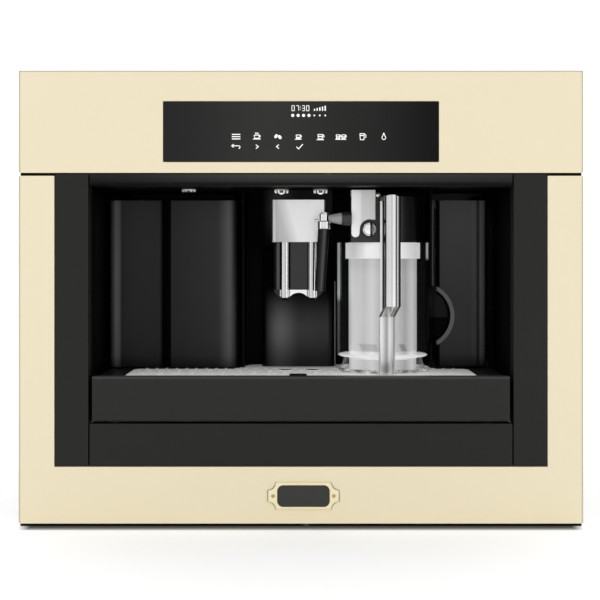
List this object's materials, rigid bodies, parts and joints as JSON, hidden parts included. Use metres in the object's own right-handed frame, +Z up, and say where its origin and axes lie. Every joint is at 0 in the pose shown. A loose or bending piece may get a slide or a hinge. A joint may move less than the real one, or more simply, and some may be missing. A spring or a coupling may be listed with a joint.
{
  "type": "built-in coffee machine",
  "caption": "Built-in coffee machine with a touch glass, coffee spout, milk jug with steam spout, water tank, drip drawer, brewing unit, grinder and pull-out slides.",
  "frame": {"origin": "middle of the footprint, at the underside of the slides that stand on the niche floor", "axes": "+Z up, +X to the right as seen from the front, -Y towards the user"},
  "size_m": [0.595, 0.4006, 0.4804],
  "materials": {
    "cream_enamel": "semi-gloss enamel",
    "dark_glass": "smooth black touch glass",
    "black_panel": "satin black",
    "galvanised_steel": "zinc coated sheet",
    "slide_steel": "zinc plated",
    "cavity_black": "fine grained black",
    "lamp_cover": "frosted lens",
    "door_black": "satin black",
    "clear_plastic": "clear moulded plastic",
    "frosted_plastic": "frosted",
    "satin_silver": "satin silver coating",
    "black_plastic": "satin",
    "chrome": "polished",
    "stainless": "brushed",
    "grey_plastic": "moulded",
    "cast_aluminium": "as cast",
    "burr_steel": "ground",
    "smoked_plastic": "smoked clear plastic",
    "board_green": "circuit board",
    "soft_black": "soft black"
  },
  "bodies": {
    "fixed_slides": {"slide_fixed": "slide_steel"},
    "middle_slides": {"slide_middle": "slide_steel"},
    "appliance": {"control_fascia": "cream_enamel", "display_glass": "dark_glass", "front_frame": "cream_enamel", "side_strips": "black_panel", "lintel": "black_panel", "lower_panel": "black_panel", "base_plate": "galvanised_steel", "side_panels": "galvanised_steel", "front_chassis": "galvanised_steel", "decks": "galvanised_steel", "top_cover": "galvanised_steel", "rear_panel": "galvanised_steel", "slide_inner": "slide_steel", "cavity_ceiling": "cavity_black", "cavity_lamps": "lamp_cover", "cavity_walls": "cavity_black", "cavity_back": "cavity_black", "spout_column": "cavity_black", "steam_nozzle": "stainless", "door_brackets": "slide_steel", "tank_dock": "grey_plastic", "brew_drive": "black_plastic", "brew_frame": "black_plastic", "grinder": "black_plastic", "bean_hopper": "smoked_plastic", "powder_funnel": "black_plastic", "water_pump": "grey_plastic", "thermoblock": "cast_aluminium", "display_board": "board_green", "power_board": "board_green", "mains_inlet": "black_plastic"},
    "service_door": {"service_door": "door_black"},
    "water_tank": {"tank_front": "door_black", "water_tank": "clear_plastic"},
    "coffee_spout": {"spout_cover": "satin_silver", "spout_body": "black_plastic", "spout_outlet": "chrome"},
    "milk_jug": {"jug_shell": "clear_plastic", "jug_liner": "frosted_plastic", "jug_band": "chrome", "jug_lid": "black_plastic", "milk_pickup": "stainless", "jug_handle": "chrome", "froth_cover": "chrome"},
    "clean_button": {"clean_button": "satin_silver"},
    "milk_spout": {"milk_arm": "frosted_plastic", "milk_collar": "chrome", "milk_tube": "soft_black"},
    "drip_drawer": {"drawer_front": "black_panel", "drip_tray": "black_plastic", "drip_grille": "stainless", "grounds_container": "grey_plastic"},
    "brew_chamber": {"brew_chamber": "grey_plastic"},
    "burr_rotor": {"burr_rotor": "burr_steel"},
    "hopper_lid": {"hopper_lid": "black_plastic"},
    "powder_lid": {"powder_lid": "black_plastic"},
    "grind_knob": {"grind_knob": "black_plastic"},
    "main_switch": {"main_switch": "black_plastic"}
  },
  "joints": [
    {"name": "appliance_slide", "type": "slide", "parent": "fixed_slides", "child": "appliance", "axis": [0, -1, 0], "range_m": [0, 0.28]},
    {"name": "middle_slide", "type": "slide", "parent": "fixed_slides", "child": "middle_slides", "axis": [0, -1, 0], "range_m": [0, 0.14]},
    {"name": "door_hinge", "type": "hinge", "parent": "appliance", "child": "service_door", "pos_m": [-0.212, -0.092, 0.2535], "axis": [0, 0, -1], "range_deg": [0, 90]},
    {"name": "tank_slide", "type": "slide", "parent": "appliance", "child": "water_tank", "axis": [0, -1, 0], "range_m": [0, 0.21]},
    {"name": "spout_slide", "type": "slide", "parent": "appliance", "child": "coffee_spout", "axis": [0, 0, -1], "range_m": [0, 0.035]},
    {"name": "jug_slide", "type": "slide", "parent": "appliance", "child": "milk_jug", "axis": [0, -1, 0], "range_m": [0, 0.14]},
    {"name": "button_press", "type": "slide", "parent": "milk_jug", "child": "clean_button", "axis": [0, 1, 0], "range_m": [0, 0.003], "stiffness_N_per_m": 300},
    {"name": "milk_spout_swing", "type": "hinge", "parent": "milk_jug", "child": "milk_spout", "pos_m": [0.0246, -0.17, 0.3254], "axis": [-1, 0, 0], "range_deg": [0, 60]},
    {"name": "drawer_slide", "type": "slide", "parent": "appliance", "child": "drip_drawer", "axis": [0, -1, 0], "range_m": [0, 0.27]},
    {"name": "chamber_lift", "type": "slide", "parent": "appliance", "child": "brew_chamber", "axis": [0, 0, 1], "range_m": [0, 0.04]},
    {"name": "burr_spin", "type": "hinge", "parent": "appliance", "child": "burr_rotor", "pos_m": [-0.165, 0.016, 0.39], "axis": [0, 0, 1], "continuous": true},
    {"name": "hopper_lid_hinge", "type": "hinge", "parent": "appliance", "child": "hopper_lid", "pos_m": [-0.166, 0.1296, 0.4757], "axis": [-1, 0, 0], "range_deg": [0, 95]},
    {"name": "powder_lid_hinge", "type": "hinge", "parent": "appliance", "child": "powder_lid", "pos_m": [-0.078, 0.0536, 0.4757], "axis": [-1, 0, 0], "range_deg": [0, 95]},
    {"name": "grind_knob_turn", "type": "hinge", "parent": "appliance", "child": "grind_knob", "pos_m": [-0.078, 0.09, 0.475], "axis": [0, 0, 1], "range_deg": [-150, 150]},
    {"name": "switch_rock", "type": "hinge", "parent": "appliance", "child": "main_switch", "pos_m": [0.11, 0.193, 0.048], "axis": [1, 0, 0], "range_deg": [-8, 8]}
  ],
  "couplings": [
    {"joint": "middle_slide", "follows": "appliance_slide", "ratio": 0.5}
  ]
}
